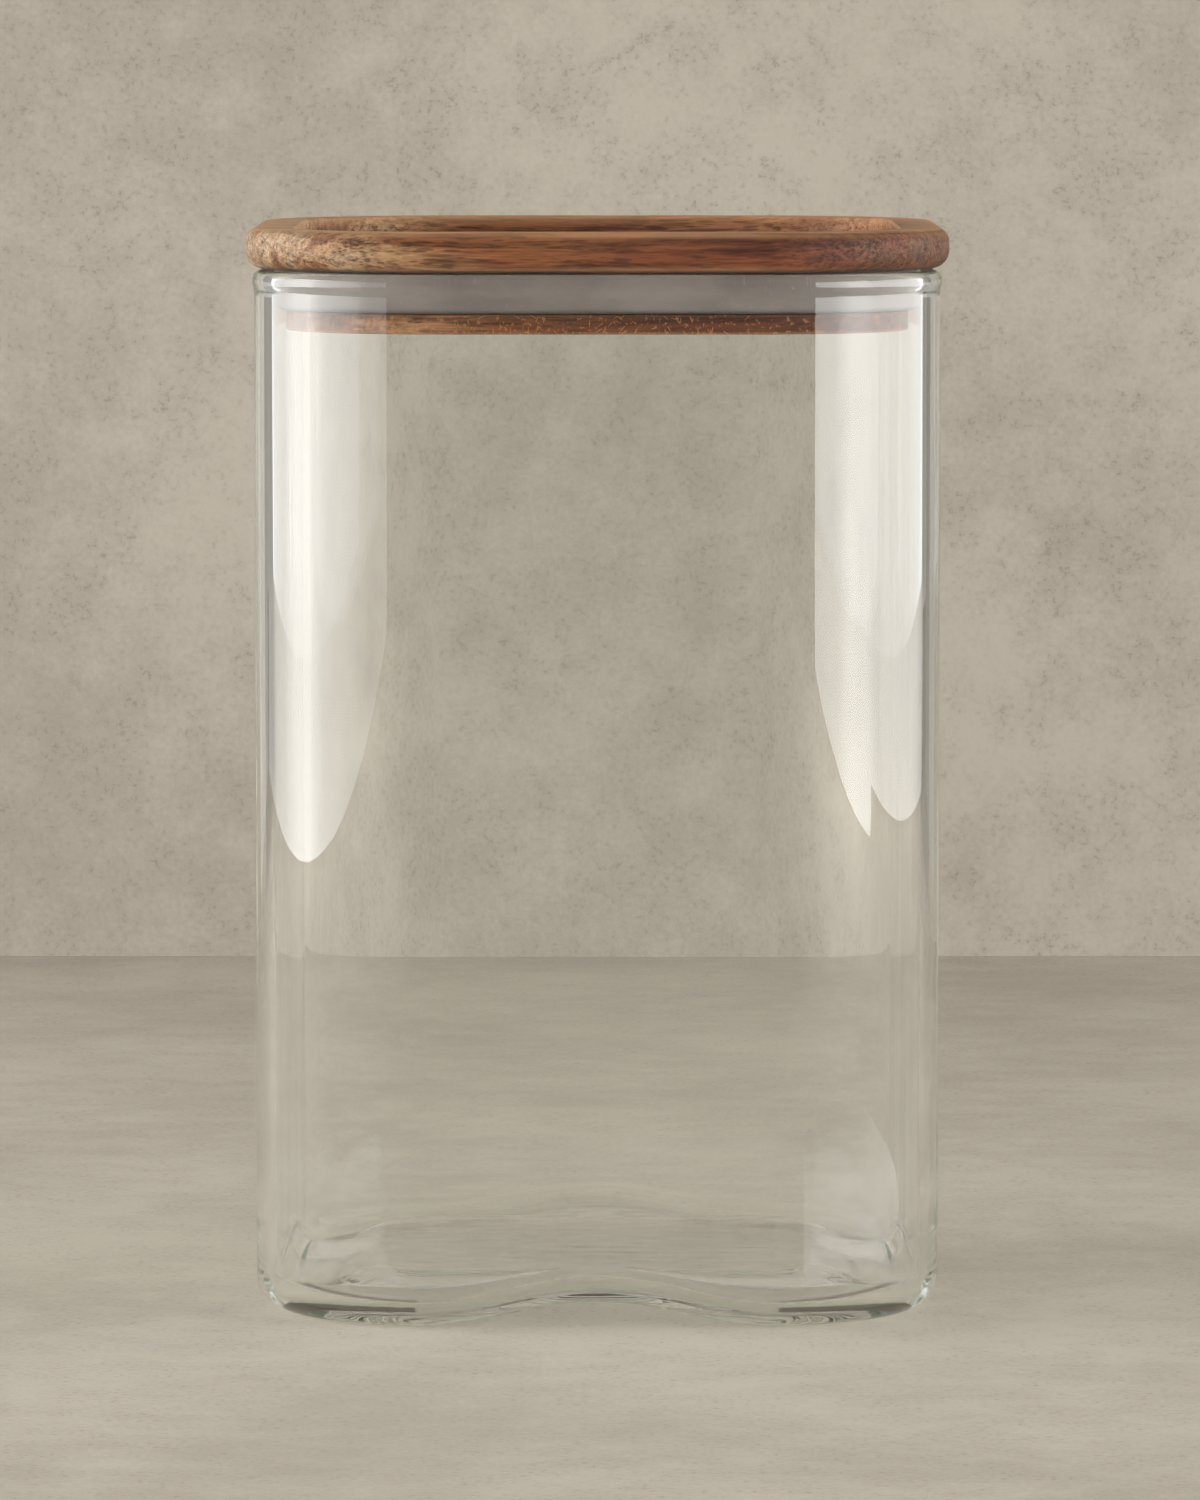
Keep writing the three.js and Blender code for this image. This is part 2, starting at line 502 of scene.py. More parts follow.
def timber_group() -> bpy.types.NodeTree:
    """The figure of hardwood sawn along X: rings, streaks, fibres and open pores.

    Returns:
        A group with a Vector, Ring Depth and Shift in, and Tone, Patch, Pores and Height out.
    """
    graph, entry, leave = new_group(
        "timber",
        {
            "Vector": ("Vector", None),
            "Ring Depth": ("Float", 0.06),
            "Shift": ("Float", 0.0),
        },
        {"Tone": "Float", "Patch": "Float", "Pores": "Float", "Height": "Float"},
    )
    shift = graph.add("CombineXYZ", {0: entry.outputs["Shift"], 2: entry.outputs["Ring Depth"]})
    moved = graph.add(
        "VectorMath", {0: entry.outputs["Vector"], 1: shift.outputs[0]}, operation="ADD"
    ).outputs[0]
    wander = graph.add(
        "TexNoise", {"Vector": graph.stretch(moved, (14.0, 40.0, 40.0)), "Scale": 1.0, "Detail": 1.0}
    )
    drift = graph.add(
        "VectorMath",
        {0: wander.outputs["Color"], 1: (0.0, 4.5 * MM, 4.5 * MM)},
        operation="MULTIPLY",
    ).outputs[0]
    bent = graph.add("VectorMath", {0: moved, 1: drift}, operation="ADD").outputs[0]
    rings = graph.add(
        "TexWave",
        {"Vector": bent, "Scale": 52.0, "Distortion": 2.4, "Detail": 3.0, "Detail Scale": 0.6},
        wave_type="RINGS",
        rings_direction="X",
        wave_profile="SAW",
    ).outputs[1]
    patch = graph.noise(graph.stretch(bent, (16.0, 170.0, 170.0)), 1.0, 3.0, 0.55)
    streak = graph.noise(graph.stretch(bent, (75.0, 1300.0, 1300.0)), 1.0, 4.0, 0.62)
    fibre = graph.noise(graph.stretch(bent, (240.0, 3600.0, 3600.0)), 1.0, 2.0, 0.6)
    cells = graph.add(
        "TexVoronoi", {"Vector": graph.stretch(bent, (260.0, 2300.0, 2300.0)), "Scale": 1.0}
    ).outputs["Distance"]
    crowd = graph.noise(graph.stretch(bent, (90.0, 420.0, 420.0)), 1.0, 3.0, 0.6)
    reach = graph.remap(crowd, 0.44, 0.62, 0.04, 0.36)
    pores = graph.remap(graph.math("SUBTRACT", cells, reach), 0.0, 0.14, 1.0, 0.0)
    spread = graph.remap(streak, 0.3, 0.7)
    tone = graph.math("MULTIPLY", spread, 0.48)
    tone = graph.math("ADD", tone, graph.math("MULTIPLY", rings, 0.18))
    tone = graph.math("ADD", tone, graph.math("MULTIPLY", graph.remap(fibre, 0.25, 0.75), 0.34))
    height = graph.math("SUBTRACT", graph.math("ADD", fibre, streak), pores)
    graph.feed(leave.inputs["Tone"], tone)
    graph.feed(leave.inputs["Patch"], patch)
    graph.feed(leave.inputs["Pores"], pores)
    graph.feed(leave.inputs["Height"], height)
    return graph.tree


def edge_wear_and_sheen_group() -> bpy.types.NodeTree:
    """Worn edges with a painted highlight: the edge attribute broken up by grain.

    Returns:
        A group with a Vector and Amount in and a Mask out.
    """
    graph, entry, leave = new_group(
        "edge_wear_and_sheen",
        {"Vector": ("Vector", None), "Amount": ("Float", 0.5)},
        {"Mask": "Float"},
    )
    edge = graph.add("Attribute", attribute_name=EDGE_ATTRIBUTE).outputs["Fac"]
    patchy = graph.noise(graph.stretch(entry.outputs["Vector"], (90.0, 420.0, 420.0)), 1.0, 3.0)
    worn_and_sheen = graph.math("MULTIPLY", edge, graph.remap(patchy, 0.35, 0.65, 0.6, 1.0))
    graph.feed(leave.inputs["Mask"], graph.math("MULTIPLY", worn_and_sheen, entry.outputs["Amount"]))
    return graph.tree


@dataclass(frozen=True)
class WoodFinish:
    """Oiled hardwood: its colours along the grain, and how dark and light streaks vary them."""

    name: str
    along: tuple[tuple[float, Colour], ...]
    dark: Colour
    light: Colour
    pore: Colour
    worn_and_sheen: Colour
    back_streak: Colour
    # Heights over which a painted shade along the bottom edge fades out.
    under: tuple[float, float]
    ring_depth: float
    shift: float
    edge_amount: float
    fleck_amount: float
    roughness: float = 0.6
    length: float = 104.0 * MM
    border_wander: float = 12.0 * MM

    def build(
        self, timber: bpy.types.NodeTree, edge_wear_and_sheen: bpy.types.NodeTree
    ) -> bpy.types.Material:
        """Makes the material.

        Args:
            timber: The group that gives the wood's figure.
            edge_wear_and_sheen: The group that gives worn edges with a painted highlight.

        Returns:
            The wood material.
        """
        graph, material, place = new_material(self.name)
        figure = put_group(
            graph,
            timber,
            {"Vector": place, "Ring Depth": self.ring_depth, "Shift": self.shift},
        )
        wear_and_sheen = put_group(graph, edge_wear_and_sheen, {"Vector": place, "Amount": self.edge_amount})
        tone, patch, pores, height = figure.outputs[:4]
        across, deep, up = graph.add("SeparateXYZ", {0: place}).outputs[:3]
        stray = graph.remap(patch, 0.3, 0.7, -self.border_wander, self.border_wander)
        wavy = graph.math("ADD", across, stray)
        share = graph.math("ADD", graph.math("DIVIDE", wavy, self.length), 0.5)
        body = graph.ramp(share, self.along)
        back = graph.remap(deep, 0.0, 30.0 * MM)
        right = graph.remap(wavy, 4.0 * MM, 24.0 * MM)
        behind = graph.math("MULTIPLY", back, right)
        body = graph.mix(graph.math("MULTIPLY", behind, 0.95), body, self.back_streak)
        shading = graph.ramp(tone, ((0.16, self.dark), (0.80, self.light)))
        colour = graph.mix(1.0, body, shading, "MULTIPLY")
        heart = graph.remap(patch, 0.5, 0.62, 0.0, 0.45)
        colour = graph.mix(heart, colour, graph.mix(1.0, body, self.dark, "MULTIPLY"))
        colour = graph.mix(graph.math("MULTIPLY", pores, 0.6), colour, self.pore)
        # Edges lighter: worn wood plus a painted highlight where the edges catch the light.
        colour = graph.mix(wear_and_sheen.outputs["Mask"], colour, self.worn_and_sheen)
        crumbs = graph.noise(place, 1500.0, 2.0, 0.6)
        flecks = graph.remap(crumbs, 0.58, 0.66, 0.0, self.fleck_amount)
        colour = graph.mix(flecks, colour, self.worn_and_sheen)
        # Painted shade: darkens the bottom edge towards the pore colour, where shade falls between
        # the board and the glass.
        below = graph.remap(up, *self.under, 0.75, 0.0)
        colour = graph.mix(below, colour, self.pore)
        rough = graph.remap(tone, 0.1, 0.9, self.roughness + 0.08, self.roughness - 0.06)
        shader = graph.add(
            "BsdfPrincipled",
            {
                "Base Color": colour,
                "Roughness": graph.math("ADD", rough, graph.math("MULTIPLY", pores, 0.2)),
                "IOR": 1.45,
                "Specular IOR Level": 0.3,
                "Normal": graph.bump(height, 0.35, 0.12 * MM),
            },
        )
        graph.add("OutputMaterial", {"Surface": shader.outputs[0]})
        return material


@dataclass(frozen=True)
class GlassFinish:
    """Clear blown glass with a faint green in its depth and a slight waviness."""

    name: str = "blown_glass"
    tint: Colour = (0.995, 1.0, 0.992)
    shade: Colour = (0.95, 0.96, 0.94)
    depth_colour: Colour = (0.82, 0.93, 0.84)
    depth_density: float = 3.0
    base_shade: Colour = (0.81, 0.815, 0.80)
    thick_base: tuple[float, float] = (3.0 * MM, 16.0 * MM)
    index: float = 1.47
    wave_strength: float = 0.06

    def build(self) -> bpy.types.Material:
        """Makes the material: it lets lamp rays straight through, slightly shaded.

        Returns:
            The glass material.
        """
        graph, material, place = new_material(self.name)
        drawn = graph.noise(graph.stretch(place, (62.0, 62.0, 5.0)), 1.0, 2.0, 0.45)
        slow = graph.noise(graph.stretch(place, (16.0, 16.0, 9.0)), 1.0, 1.0, 0.4)
        height = graph.math("ADD", drawn, graph.math("MULTIPLY", slow, 3.0))
        shader = graph.add(
            "BsdfPrincipled",
            {
                "Base Color": (*self.tint, 1.0),
                "Roughness": 0.0,
                "IOR": self.index,
                "Transmission Weight": 1.0,
                "Normal": graph.bump(height, self.wave_strength, 1.0 * MM),
            },
        )
        up = graph.add("SeparateXYZ", {0: place}).outputs[2]
        shade = graph.mix(graph.remap(up, *self.thick_base), self.base_shade, self.shade)
        clear = graph.add("BsdfTransparent", {0: shade})
        from_lamp = graph.add("LightPath").outputs["Is Shadow Ray"]
        surface = graph.add("MixShader", {0: from_lamp, 1: shader.outputs[0], 2: clear.outputs[0]})
        inside = graph.add(
            "VolumeAbsorption", {0: (*self.depth_colour, 1.0), 1: self.depth_density}
        )
        graph.add("OutputMaterial", {0: surface.outputs[0], 1: inside.outputs[0]})
        return material


@dataclass(frozen=True)
class SiliconeFinish:
    """Milky silicone, a little cloudy, with a soft dull surface and a painted shade along its bottom
    edge.
    """

    name: str = "milky_silicone"
    clear: Colour = (0.179, 0.150, 0.136)
    cloudy: Colour = (0.244, 0.209, 0.190)
    dust: Colour = (0.34, 0.30, 0.275)
    # Colour of a painted shade along the seal's bottom edge, where it meets the plate.
    low: Colour = (0.075, 0.078, 0.095)
    painted_shade_height: float = 0.9 * MM

    def build(self) -> bpy.types.Material:
        """Makes the material.

        Returns:
            The silicone material.
        """
        graph, material, place = new_material(self.name)
        cloud = graph.noise(graph.stretch(place, (70.0, 70.0, 190.0)), 1.0, 3.0, 0.55)
        colour = graph.mix(graph.remap(cloud, 0.3, 0.7), self.clear, self.cloudy)
        specks = graph.noise(place, 2600.0, 2.0, 0.6)
        colour = graph.mix(graph.remap(specks, 0.62, 0.75, 0.0, 0.5), colour, self.dust)
        up = graph.add("SeparateXYZ", {0: place}).outputs[2]
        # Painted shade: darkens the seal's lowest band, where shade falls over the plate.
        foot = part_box("seal_ring")[0].z
        shadowed = graph.remap(up, foot, foot + self.painted_shade_height, 0.85, 0.0)
        colour = graph.mix(shadowed, colour, self.low)
        moulded = graph.noise(graph.stretch(place, (120.0, 120.0, 900.0)), 1.0, 2.0)
        shader = graph.add(
            "BsdfPrincipled",
            {
                "Base Color": colour,
                "Roughness": graph.remap(cloud, 0.2, 0.8, 0.36, 0.5),
                "IOR": 1.41,
                "Subsurface Weight": 0.35,
                "Subsurface Radius": (1.0, 0.95, 0.85),
                "Subsurface Scale": 1.5 * MM,
                "Normal": graph.bump(moulded, 0.15, 0.1 * MM),
            },
        )
        graph.add("OutputMaterial", {"Surface": shader.outputs[0]})
        return material


# ------------------------------------------------------------------- the jar


@dataclass
class Jar:
    """The blown jar: four low feet with arches between them, and a beaded rim."""

    wall: float = 2.7 * MM
    core: float = 23.0 * MM
    bead_proud: float = 0.25 * MM
    bead_inside: float = 0.15 * MM
    bead_height: float = 2.8 * MM
    bead_neck: float = 1.0 * MM
    bead_swell: float = 0.8 * MM
    bead_foot_round: float = 0.5 * MM
    bead_shoulder_round: float = 0.3 * MM
    outer_lip: float = 1.3 * MM
    inner_lip: float = 1.2 * MM
    base_thickness: float = 2.7 * MM
    base_rise: float = 3.6 * MM
    foot_fillet: float = 5.0 * MM
    floor_fillet: float = 3.5 * MM
    foot_land: float = 3.0 * MM
    foot_slope: float = 10.0 * MM
    slope_margin: float = 2.0 * MM
    slope_top_shift: float = 2.2 * MM
    slope_top_round: float = 3.6 * MM
    slope_foot_round: float = 2.4 * MM
    arch_half_width: float = 26.0 * MM
    arch_fade: float = 16.0 * MM
    arch_rows: int = 6
    plan: SquarePlan = field(init=False)
    half: float = field(init=False)
    top: float = field(init=False)

    def __post_init__(self) -> None:
        """Takes the jar's outside sizes from its CAD node."""
        _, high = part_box("glass_jar")
        self.half = high.x - self.bead_proud
        self.top = high.z
        self.plan = SquarePlan(self.core, corner_steps=30, flat_steps=12)

    @property
    def mouth_half(self) -> float:
        """From the middle to the wall's inside face."""
        return self.half - self.wall

    def base_line(self, level: float) -> list[Corner]:
        """The section of the underside, or of the floor, from the middle to the foot.

        Args:
            level: The height of the foot, or of the floor over it.

        Returns:
            The section's corners, from the middle outwards.
        """
        land = self.half - self.foot_fillet - self.foot_land
        slope = land - self.foot_slope
        raised = level + self.base_rise
        return [
            Corner(slope - self.slope_margin, raised),
            Corner(slope + self.slope_top_shift, raised, self.slope_top_round),
            Corner(land - self.slope_margin, level, self.slope_foot_round),
        ]

    def arch_heights(self, start: float, level: float) -> list[float]:
        """Heights of the wall's rows between the fillet and where the arches have faded."""
        end = level + self.arch_fade
        return [start + (end - start) * (i + 1) / self.arch_rows for i in range(self.arch_rows)]

    def wall_line(
        self, wall: float, level: float, fillet: float, bead: float, lip: float
    ) -> list[Corner]:
        """The section of the wall's outer or inner face and of its half of the rim.

        Args:
            wall: How far out the face is.
            level: The height of the foot, or of the floor over it.
            fillet: The rounding at the face's foot.
            bead: How far out the face is at the rim's bead.
            lip: The rounding at the rim's top.

        Returns:
            The section's corners, upwards to the middle of the rim's top.
        """
        bead_foot = self.top - self.bead_height
        outer_bead = self.half + self.bead_proud
        inner_bead = self.mouth_half - self.bead_inside
        return [
            Corner(wall, level, fillet, 10),
            *(Corner(wall, z) for z in self.arch_heights(level + fillet, level)),
            Corner(wall, bead_foot - self.bead_neck),
            Corner(wall, bead_foot, self.bead_foot_round, 3),
            Corner(bead, bead_foot + self.bead_swell, self.bead_shoulder_round, 3),
            Corner(bead, self.top, lip, 8),
            Corner((outer_bead + inner_bead) / 2, self.top),
        ]

    def outside(self) -> bmesh.types.BMesh:
        """The underside, the feet and the outer wall.

        Returns:
            The surface, open at the middle of the base and along the rim's top.
        """
        bead = self.half + self.bead_proud
        wall = self.wall_line(self.half, 0.0, self.foot_fillet, bead, self.outer_lip)
        return self.raise_arches(self.plan.sweep([*self.base_line(0.0), *wall]), 0.0)

    def inside(self) -> bmesh.types.BMesh:
        """The floor and the inner wall.

        Returns:
            The surface, open at the middle of the floor and along the rim's top.
        """
        level = self.base_thickness
        bead = self.mouth_half - self.bead_inside
        wall = self.wall_line(self.mouth_half, level, self.floor_fillet, bead, self.inner_lip)
        return self.raise_arches(self.plan.sweep([*self.base_line(level), *wall]), level)

    def raise_arches(self, bm: bmesh.types.BMesh, level: float) -> bmesh.types.BMesh:
        """Lifts the base into a low arch at the middle of each side.

        Args:
            bm: The outside or the inside of the jar.
            level: The height of its foot or of its floor.

        Returns:
            The same form.
        """
        floor_edge = self.mouth_half - self.floor_fillet
        for vert in bm.verts:
            along = min(abs(vert.co.x), abs(vert.co.y)) / self.arch_half_width
            share = (1.0 + math.cos(math.pi * min(along, 1.0))) / 2
            if self.plan.outset(vert.co) < floor_edge:
                lift = level + self.base_rise - vert.co.z
            else:
                lift = self.base_rise * (1.0 - smooth_step((vert.co.z - level) / self.arch_fade))
            vert.co.z += share * lift
        return bm

    def build(self, glass: bpy.types.Material) -> None:
        """Builds the jar and ties it to its body.

        Args:
            glass: The jar's finish.
        """
        bm = self.outside()
        join_forms(bm, self.inside())
        close_body(bm)
        piece = Piece("jar", Body.JAR, Slot.GLASS, ("glass_jar",)).place(bm, glass)
        weight_normals(piece)


# ------------------------------------------------------------------- the lid


@dataclass
class Lid:
    """The wooden board with its tray, the plug glued under it, and the seal."""

    core: float = 23.0 * MM
    cap_half: float = 34.0 * MM
    rim_width: float = 7.25 * MM
    tray_depth: float = 3.0 * MM
    front_rounds: tuple[float, float] = (1.0 * MM, 1.3 * MM)
    end_rounds: tuple[float, float] = (1.9 * MM, 2.6 * MM)
    end_start: float = 18.0 * MM
    end_reach: float = 28.0 * MM
    board_wear_and_sheen: float = 1.15 * MM
    tray_edge_round: float = 0.5 * MM
    sheen_depth: float = 0.4 * MM
    sheen_outer: float = 0.85
    sheen_inner: float = 0.3
    tray_floor_round: float = 1.3 * MM
    plate_thickness: float = 2.9 * MM
    plate_round: float = 0.45 * MM
    plate_wear: float = 0.55 * MM
    neck_half: float = 42.4 * MM
    seal_thickness: float = 4.4 * MM
    seal_low_round: float = 0.9 * MM
    seal_high_round: float = 0.6 * MM
    seal_inner_round: float = 0.3 * MM
    seal_crown_round: float = 1.4 * MM
    seal_crown: float = 0.25 * MM
    fray_count: int = 150
    fray_seed: int = 11
    fray_reach: float = 22.0 * MM
    fray_proud: float = 0.02 * MM
    fray_lengths: tuple[float, float] = (0.3 * MM, 1.4 * MM)
    fray_radii: tuple[float, float] = (0.03 * MM, 0.08 * MM)
    fray_wear: float = 1.5
    plan: SquarePlan = field(init=False)

    def __post_init__(self) -> None:
        """Makes the plan that all the lid's outlines are parallel to."""
        self.plan = SquarePlan(self.core, corner_steps=28, flat_steps=6)

    def board_section(self, rounds: tuple[float, float]) -> list[Corner]:
        """The board's section, from the middle of its underside to its tray's floor.

        Args:
            rounds: The roundings of the rim's outer edges, at its top and at its foot.

        Returns:
            The section's corners.
        """
        low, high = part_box("lid_board")
        tray_half = high.x - self.rim_width
        tray_floor = high.z - self.tray_depth
        top_round, low_round = rounds
        return [
            Corner(self.cap_half, low.z),
            Corner(high.x, low.z, low_round, 8),
            Corner(high.x, high.z, top_round, 8),
            Corner(tray_half, high.z, self.tray_edge_round, 4),
            Corner(tray_half, tray_floor, self.tray_floor_round, 5),
            Corner(self.cap_half, tray_floor),
        ]

    def end_share(self, place: Vector) -> float:
        """How much a place of the board's edge is sanded as an end: 1 at the ends."""
        return smooth_step((abs(place.x) - self.end_start) / self.end_reach)

    def board(self, wood: bpy.types.Material) -> None:
        """Builds the board: its end grain is sanded rounder than its long sides.

        Args:
            wood: The board's finish.
        """
        section = self.board_section(self.front_rounds)
        bm = self.plan.sweep(section)
        blend_forms(bm, self.plan.sweep(self.board_section(self.end_rounds)), self.end_share)
        close_body(bm)
        mark_edges(bm, self.plan, section[1:4], self.board_wear_and_sheen)
        self.paint_rim_sheen(bm, section[2])
        piece = Piece("board", Body.LID, Slot.BOARD, ("lid_board",)).place(bm, wood)
        weight_normals(piece)

    def paint_rim_sheen(self, bm: bmesh.types.BMesh, top: Corner) -> None:
        """Paints the rim's top paler, most along its outer edge: partly worn wood, mostly a painted
        sheen standing for the glancing reflection of the backdrop.

        Args:
            bm: The board, with its edges marked.
            top: The corner of the section at the rim's outer top edge.
        """
        layer = bm.verts.layers.float[EDGE_ATTRIBUTE]
        for vert in bm.verts:
            # Painted sheen along the rim's top, strongest on its outer half.
            sheen = 1.0 - smooth_step((top.height - vert.co.z) / self.sheen_depth)
            inner = self.plan.outset(vert.co) < top.half - self.rim_width / 2
            worn_and_sheen = self.sheen_inner if inner else self.sheen_outer
            vert[layer] = max(self.sheen_outer * vert[layer], sheen * worn_and_sheen)

    def plug(self, wood: bpy.types.Material) -> None:
        """Builds the plate that is seen through the glass, with the seal's neck above it.

        Args:
            wood: The plug's finish.
        """
        low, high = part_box("lid_plug")
        plate_top = low.z + self.plate_thickness
        section = [
            Corner(self.cap_half, low.z),
            Corner(high.x, low.z, self.plate_round, 4),
            Corner(high.x, plate_top, self.plate_round, 4),
            Corner(self.neck_half, plate_top),
            Corner(self.neck_half, high.z),
            Corner(self.cap_half, high.z),
        ]
        bm = self.plan.sweep(section)
        close_body(bm)
        mark_edges(bm, self.plan, section[1:3], self.plate_wear)
        piece = Piece("plug", Body.LID, Slot.PLUG, ("lid_plug",)).place(bm, wood)
        weight_normals(piece)

    def fray(self, wood: bpy.types.Material) -> None:
        """Builds the loose wood fibres along the plate's sawn edge.

        Args:
            wood: The plug's finish.
        """
        low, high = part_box("lid_plug")
        chance = random.Random(self.fray_seed)
        bm = bmesh.new()
        edge = high.x + self.fray_proud
        thin, thick = self.fray_radii
        for _ in range(self.fray_count):
            along = chance.uniform(-self.fray_reach, self.fray_reach)
            side = chance.choice((0, 0, 0, 1, 2, 2, 3))
            length = chance.uniform(*self.fray_lengths)
            rise = chance.uniform(0.1, 0.95) ** 2 * self.plate_thickness
            root = Vector((along, -edge, low.z + rise))
            lean = Matrix.Rotation(chance.uniform(-1.3, 1.3), 4, "Y")
            tip = Matrix.Rotation(chance.uniform(-0.2, 0.2), 4, "X")
            made = bmesh.ops.create_cone(
                bm,
                cap_ends=True,
                segments=5,
                radius1=thin,
                radius2=thick,
                depth=length,
            )
            turn = Matrix.Rotation(side * QUARTER, 4, "Z")
            place = turn @ Matrix.Translation(root) @ lean @ tip
            bmesh.ops.transform(bm, matrix=place, verts=made["verts"])
        layer = bm.verts.layers.float.new(EDGE_ATTRIBUTE)
        for vert in bm.verts:
            vert[layer] = self.fray_wear
        Piece("plug_fray", Body.LID, Slot.PLUG).place(bm, wood)

    def seal(self, silicone: bpy.types.Material) -> None:
        """Builds the seal: a band with a faintly crowned face and rounded edges.

        Args:
            silicone: The seal's finish.
        """
        low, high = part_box("seal_ring")
        inner = high.x - self.seal_thickness
        edge = high.x - self.seal_crown
        middle = (low.z + high.z) / 2
        corners = [
            Corner(inner, low.z, self.seal_inner_round, 3),
            Corner(edge, low.z, self.seal_low_round, 6),
            Corner(high.x, middle, self.seal_crown_round, 6),
            Corner(edge, high.z, self.seal_high_round, 5),
            Corner(inner, high.z, self.seal_inner_round, 3),
        ]
        bm = self.plan.sweep(corners, closed=True)
        close_body(bm)
        piece = Piece("seal", Body.LID, Slot.SEAL, ("seal_ring",)).place(bm, silicone)
        weight_normals(piece)

    def build(
        self,
        board_wood: bpy.types.Material,
        plug_wood: bpy.types.Material,
        silicone: bpy.types.Material,
    ) -> None:
        """Builds all the lid's pieces.

        Args:
            board_wood: The board's finish.
            plug_wood: The finish of the plug and its loose fibres.
            silicone: The seal's finish.
        """
        self.board(board_wood)
        self.plug(plug_wood)
        self.fray(plug_wood)
        self.seal(silicone)


# ----------------------------------------------------------------- the studio


@dataclass(frozen=True)
class StoneFinish:
    """Pale warm stone, mottled in soft patches, with a few darker specks."""

    name: str
    pale: Colour
    deep: Colour
    speck: Colour = (0.15, 0.12, 0.095)
    one_sided: bool = False

    def build(self) -> bpy.types.Material:
        """Makes the material. A one-sided surface isn't there when seen from behind.

        Returns:
            The stone material.
        """
        graph, material, place = new_material(self.name)
        broad = graph.noise(place, 9.0, 4.0, 0.6)
        fine = graph.noise(place, 85.0, 5.0, 0.7)
        grain = graph.noise(place, 900.0, 3.0, 0.7)
        mottle = graph.math("MULTIPLY", broad, 0.5)
        mottle = graph.math("ADD", mottle, graph.math("MULTIPLY", fine, 0.3))
        mottle = graph.math("ADD", mottle, graph.math("MULTIPLY", grain, 0.22))
        colour = graph.mix(graph.remap(mottle, 0.38, 0.62), self.deep, self.pale)
        specks = graph.math("MULTIPLY", graph.remap(grain, 0.32, 0.44, 1.0, 0.0), 0.4)
        specks = graph.math("MULTIPLY", specks, graph.remap(fine, 0.6, 0.4))
        colour = graph.mix(specks, colour, self.speck)
        shader = graph.add(
            "BsdfPrincipled",
            {
                "Base Color": colour,
                "Roughness": graph.remap(fine, 0.3, 0.7, 0.75, 0.9),
                "Specular IOR Level": 0.25,
                "Normal": graph.bump(fine, 0.15, 0.6 * MM),
            },
        )
        surface = shader.outputs[0]
        if self.one_sided:
            behind = graph.add("NewGeometry").outputs["Backfacing"]
            clear = graph.add("BsdfTransparent")
            surface = graph.add("MixShader", {0: behind, 1: surface, 2: clear.outputs[0]}).outputs[0]
        graph.add("OutputMaterial", {"Surface": surface})
        return material


@dataclass(frozen=True)
class LightPanel:
    """A soft light: a panel that stands on the table along a line, or lies beside it."""

    name: str
    start: tuple[float, float]
    end: tuple[float, float]
    top: float
    glow: tuple[tuple[float, float], ...]
    seen_through: bool = False
    flat: bool = False
    foot_from: float = 0.5
    foot_to: float = 0.5
    foot_round: float = 0.08
    end_round: float = 0.02
    top_round: float = 0.0
    round_steps: int = 8
    colour: Colour = (1.0, 1.0, 0.99)

    @property
    def width(self) -> float:
        """The panel's width along the table."""
        return math.dist(self.start, self.end)

    def material(self) -> bpy.types.Material:
        """Makes the panel's light, which changes along its width as the glow says.

        Returns:
            The light's material.
        """
        graph, material, place = new_material(self.name)
        across = graph.add("SeparateXYZ", {0: place}).outputs[0]
        share = graph.math("DIVIDE", across, self.width)
        tints = [tuple(level * channel for channel in self.colour) for _, level in self.glow]
        stops = [(position, tint) for (position, _), tint in zip(self.glow, tints)]
        light = graph.add("Emission", {0: graph.ramp(share, stops)}).outputs[0]
        if self.flat:
            below = graph.add("NewGeometry").outputs["Backfacing"]
            clear = graph.add("BsdfTransparent")
            light = graph.add("MixShader", {0: below, 1: light, 2: clear.outputs[0]}).outputs[0]
        graph.add("OutputMaterial", {"Surface": light})
        return material

    @property
    def tilt(self) -> Matrix:
        """The turn that lays a flat panel on the table. An upright one isn't turned."""
        return Matrix.Rotation(-QUARTER if self.flat else 0.0, 4, "X")

    def outline(self) -> list[Corner]:
        """The panel's corners, seen from its front, from its foot at the start.

        Returns:
            The corners: four along its foot, of which two lie between the ends, and two on top.
        """
        steps = self.round_steps
        return [
            Corner(0.0, 0.0, self.end_round, steps),
            Corner(self.foot_from * self.width, 0.0, self.foot_round, steps),
            Corner(self.foot_to * self.width, 0.0, self.foot_round, steps),
            Corner(self.width, 0.0, self.end_round, steps),
            Corner(self.width, self.top, self.top_round, steps),
            Corner(0.0, self.top, self.top_round, steps),
        ]

    def build(self) -> None:
        """Builds the panel. It lights and is mirrored, and the camera never sees it directly.

        Through the glass a panel shows only if it is seen_through, and then it still isn't
        seen beside the glass. A flat panel doesn't light dull surfaces.
        """
        bm = bmesh.new()
        corners = self.outline()
        verts = [bm.verts.new((c.half, 0.0, c.height)) for c in corners]
        bmesh.ops.contextual_create(bm, geom=verts)
        round_corners(bm, verts, corners)
        for face in bm.faces:
            face.normal_update()
            if face.normal.y > 0.0:
                face.normal_flip()
        panel = make_object(self.name, bm, self.material())
        turn = math.atan2(self.end[1] - self.start[1], self.end[0] - self.start[0])
        place = Matrix.Translation((*self.start, 0.001))
        panel.matrix_world = place @ Matrix.Rotation(turn, 4, "Z") @ self.tilt
        panel.visible_camera = False
        panel.visible_transmission = self.seen_through
        panel.visible_shadow = False
        panel.visible_diffuse = not self.flat


